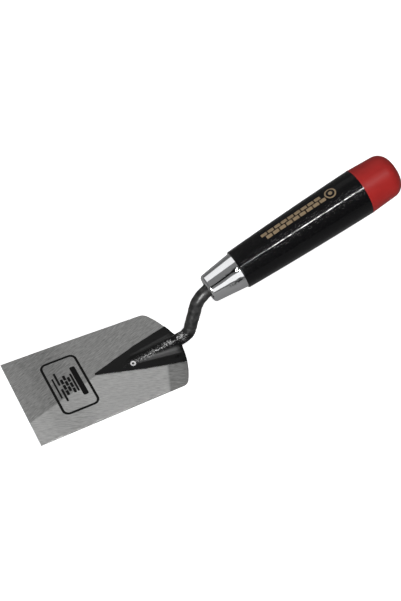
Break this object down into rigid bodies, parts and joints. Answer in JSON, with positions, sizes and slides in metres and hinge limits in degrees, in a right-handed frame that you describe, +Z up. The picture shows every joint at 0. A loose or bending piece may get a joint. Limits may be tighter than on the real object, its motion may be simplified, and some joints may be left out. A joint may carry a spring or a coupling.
{
  "type": "square-ended plasterer's trowel",
  "caption": "Small square-ended plasterer's trowel: flat ground steel blade, black forged foot, swan neck, chromed ferrule and black wooden handle with a red end.",
  "frame": {"origin": "middle of the blade's sole, on the centre line, half way from the front edge to the heel", "axes": "+Z up from the sole, +X from the blade's front edge towards the handle, +Y to the left when looking along +X"},
  "size_m": [0.2839, 0.074, 0.1094],
  "materials": {
    "blade_steel": "ground and brushed, clear lacquered",
    "shank_black": "black lacquer on rough forging, gloss",
    "ferrule_chrome": "bright chrome plate on drawn sheet",
    "handle_wood": "beech, black gloss lacquer with open pores",
    "end_red": "thick red dip coat, satin"
  },
  "bodies": {
    "root": {"blade": "blade_steel", "shank": "shank_black", "ferrule": "ferrule_chrome", "handle": "handle_wood", "end_cap": "end_red"}
  },
  "joints": []
}
